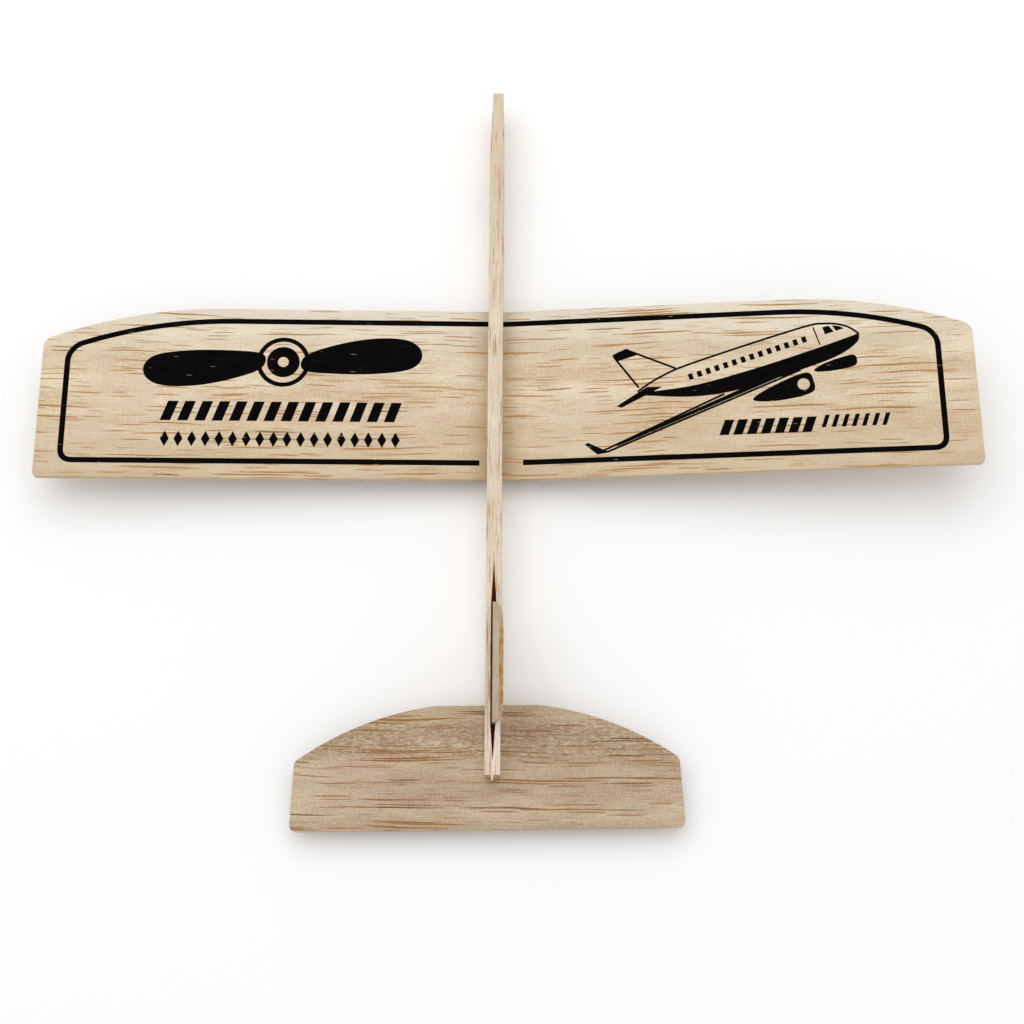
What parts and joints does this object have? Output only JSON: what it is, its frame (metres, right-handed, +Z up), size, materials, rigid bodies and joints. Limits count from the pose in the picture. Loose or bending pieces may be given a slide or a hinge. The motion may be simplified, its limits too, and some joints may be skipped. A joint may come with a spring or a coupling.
{
  "type": "balsa hand glider",
  "caption": "Hand-thrown balsa glider: stick fuselage with a creased sheet wing through it, slotted stabilizer, pressed-in fin and nose weight.",
  "frame": {"origin": "on the flat belly of the fuselage, in its middle plane, straight below the wing's trailing edge", "axes": "+X to the right wing tip, +Y forwards to the nose, +Z up to the top of the fin"},
  "size_m": [0.3046, 0.2534, 0.0362],
  "materials": {
    "balsa_stick": "matte",
    "balsa_wing_sheet": "matte",
    "balsa_tail_sheet": "matte",
    "balsa_fin_sheet": "matte",
    "printing_ink": "matte",
    "steel_slug": "satin"
  },
  "bodies": {
    "stick": {"fuselage": "balsa_stick", "nose_weight": "steel_slug"},
    "wing": {"wing": "balsa_wing_sheet"},
    "stabilizer": {"stabilizer": "balsa_tail_sheet"},
    "fin": {"fin": "balsa_fin_sheet"}
  },
  "joints": [
    {"name": "wing_slide", "type": "slide", "parent": "stick", "child": "wing", "axis": [0.9989, 0.0091, -0.0462], "range_m": [0, 0.156]},
    {"name": "stabilizer_slide", "type": "slide", "parent": "stick", "child": "stabilizer", "axis": [0.015, -0.9999, 0], "range_m": [0, 0.03]},
    {"name": "fin_lift", "type": "slide", "parent": "stick", "child": "fin", "axis": [0.1097, 0, 0.994], "range_m": [0, 0.012]}
  ]
}
